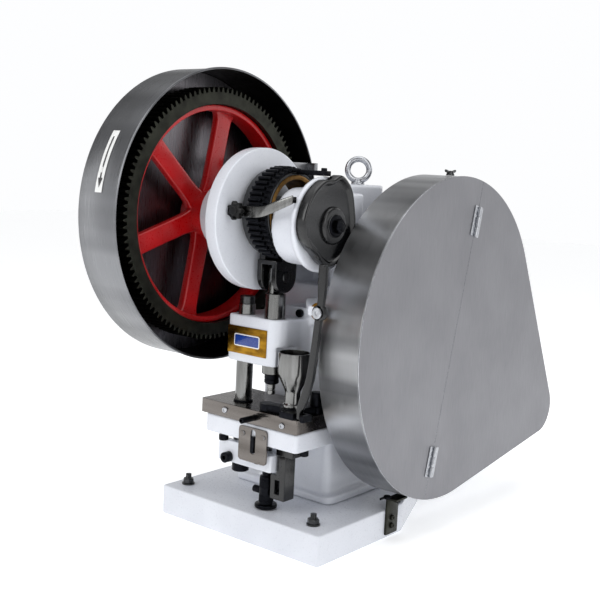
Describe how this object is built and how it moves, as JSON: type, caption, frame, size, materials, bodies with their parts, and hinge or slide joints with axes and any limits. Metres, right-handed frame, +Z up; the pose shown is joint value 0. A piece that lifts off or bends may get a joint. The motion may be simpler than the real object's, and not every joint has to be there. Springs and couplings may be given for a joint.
{
  "type": "single-punch tablet press",
  "caption": "Bench tablet press with guarded gear and belt drive, eccentric ram and punch over a die, hopper on a swinging feed shoe, and lifting fork on a white column.",
  "frame": {"origin": "middle of the base plate's underside, under the centre of its width", "axes": "+X to the right towards the belt guard, +Y to the back towards the motor, +Z up"},
  "size_m": [0.3435, 0.779, 0.6568],
  "materials": {
    "cream_paint": "smooth semi-gloss cool white enamel",
    "stainless_sheet": "brushed stainless sheet",
    "polished_steel": "ground and polished steel",
    "tool_steel": "oiled tool steel",
    "cast_gear": "oiled cast iron with cut teeth",
    "black_oxide": "black oxide",
    "black_paint": "gloss black enamel",
    "red_paint": "gloss red enamel",
    "bronze": "bearing bronze",
    "gilt_plate": "satin gilt plate",
    "label": "white film label",
    "belt_rubber": "matt black rubber",
    "motor_paint": "grey machine enamel",
    "black_plastic": "moulded black plastic"
  },
  "bodies": {
    "press": {"base_plate": "cream_paint", "frame_casting": "cream_paint", "left_bearing_housing": "cream_paint", "die_plate": "polished_steel", "die": "tool_steel", "plate_screw_left": "polished_steel", "plate_screw_right": "polished_steel", "foot_bolt_front_left": "tool_steel", "foot_bolt_front_right": "tool_steel", "foot_bolt_back_left": "tool_steel", "foot_bolt_back_right": "tool_steel", "nameplate": "gilt_plate", "eye_bolt": "polished_steel", "gear_guard": "stainless_sheet", "guard_label": "label", "belt_guard_housing": "stainless_sheet", "belt_guard_cover": "stainless_sheet", "hinge_upper": "polished_steel", "hinge_lower": "polished_steel", "guard_strap": "tool_steel", "lever_pin": "polished_steel", "shoe_pivot_post": "black_oxide", "rod_gland": "black_oxide", "lower_bracket": "black_paint", "stop_plate": "polished_steel", "v_belt": "belt_rubber", "motor": "motor_paint", "motor_bracket": "cream_paint", "lock_strip": "polished_steel", "lock_bar": "black_oxide"},
    "main_shaft_group": {"main_shaft": "tool_steel", "gear_rim": "cast_gear", "gear_spider": "red_paint", "feed_cam": "black_paint"},
    "countershaft_group": {"countershaft": "tool_steel", "pinion": "cast_gear", "big_pulley": "cast_gear"},
    "motor_pulley_group": {"motor_pulley": "cast_gear"},
    "ram_group": {"ram": "polished_steel", "punch_nut": "black_oxide", "upper_punch": "polished_steel", "connecting_rod": "black_paint", "eccentric_bush": "bronze", "wrist_pin": "tool_steel"},
    "adjuster": {"adjusting_ring": "black_paint"},
    "ring_lock_knob": {"star_knob": "black_plastic"},
    "die_lock": {"die_lock_screw": "black_oxide"},
    "wing_nut": {"guard_wing_nut": "black_oxide"},
    "lift_group": {"lift_rod": "polished_steel", "lift_rod_cap": "tool_steel", "lift_fork": "cream_paint", "lift_rod_nut": "black_oxide", "lower_punch": "polished_steel", "stop_key": "black_oxide"},
    "lift_knob": {"fork_knob": "black_oxide"},
    "fill_spindle": {"lower_spindle": "black_oxide"},
    "shoe_group": {"feed_shoe": "black_oxide", "hopper": "polished_steel"},
    "lever_group": {"feed_lever": "black_paint"},
    "guard_door": {"belt_guard_door": "stainless_sheet"}
  },
  "joints": [
    {"name": "main_shaft_spin", "type": "hinge", "parent": "press", "child": "main_shaft_group", "pos_m": [0, -0.1129, 0.4499], "axis": [1, 0, 0], "continuous": true},
    {"name": "countershaft_spin", "type": "hinge", "parent": "press", "child": "countershaft_group", "pos_m": [0, 0.0968, 0.2884], "axis": [1, 0, 0], "continuous": true},
    {"name": "motor_spin", "type": "hinge", "parent": "press", "child": "motor_pulley_group", "pos_m": [0, 0.3972, 0.1406], "axis": [1, 0, 0], "continuous": true},
    {"name": "ram_slide", "type": "slide", "parent": "press", "child": "ram_group", "axis": [0, 0, 1], "range_m": [-0.022, 0]},
    {"name": "adjusting_ring_turn", "type": "hinge", "parent": "ram_group", "child": "adjuster", "pos_m": [0.036, -0.1129, 0.4609], "axis": [1, 0, 0], "range_deg": [-30, 30]},
    {"name": "star_knob_turn", "type": "hinge", "parent": "press", "child": "ring_lock_knob", "pos_m": [0.0126, -0.187, 0.463], "axis": [0, 1, 0], "range_deg": [-90, 90]},
    {"name": "die_lock_screw_turn", "type": "hinge", "parent": "press", "child": "die_lock", "pos_m": [0.0249, -0.15, 0.1794], "axis": [0, 1, 0], "range_deg": [-180, 180]},
    {"name": "guard_wing_nut_turn", "type": "hinge", "parent": "press", "child": "wing_nut", "pos_m": [0.1558, 0.11, 0.525], "axis": [0, 0, 1], "range_deg": [-180, 180]},
    {"name": "lift_slide", "type": "slide", "parent": "press", "child": "lift_group", "axis": [0, 0, 1], "range_m": [0, 0.008]},
    {"name": "fork_knob_turn", "type": "hinge", "parent": "lift_group", "child": "lift_knob", "pos_m": [-0.0285, -0.14, 0.111], "axis": [0, 1, 0], "range_deg": [-180, 180]},
    {"name": "lower_spindle_turn", "type": "hinge", "parent": "lift_group", "child": "fill_spindle", "pos_m": [0.0249, -0.1129, 0.075], "axis": [0, 0, 1], "range_deg": [-40, 40]},
    {"name": "feed_shoe_swing", "type": "hinge", "parent": "press", "child": "shoe_group", "pos_m": [0.088, -0.09, 0.195], "axis": [0, 0, -1], "range_deg": [0, 17]},
    {"name": "feed_lever_swing", "type": "hinge", "parent": "press", "child": "lever_group", "pos_m": [0.1265, -0.143, 0.338], "axis": [0, 1, 0], "range_deg": [0, 7]},
    {"name": "guard_door_swing", "type": "hinge", "parent": "press", "child": "guard_door", "pos_m": [0.1919, 0.0968, 0.2884], "axis": [0, -0.2274, -0.9738], "range_deg": [0, 100]}
  ],
  "couplings": [
    {"joint": "countershaft_spin", "follows": "main_shaft_spin", "ratio": -2.0345},
    {"joint": "motor_spin", "follows": "main_shaft_spin", "ratio": -11.944},
    {"joint": "feed_lever_swing", "follows": "feed_shoe_swing", "ratio": 0.37}
  ]
}
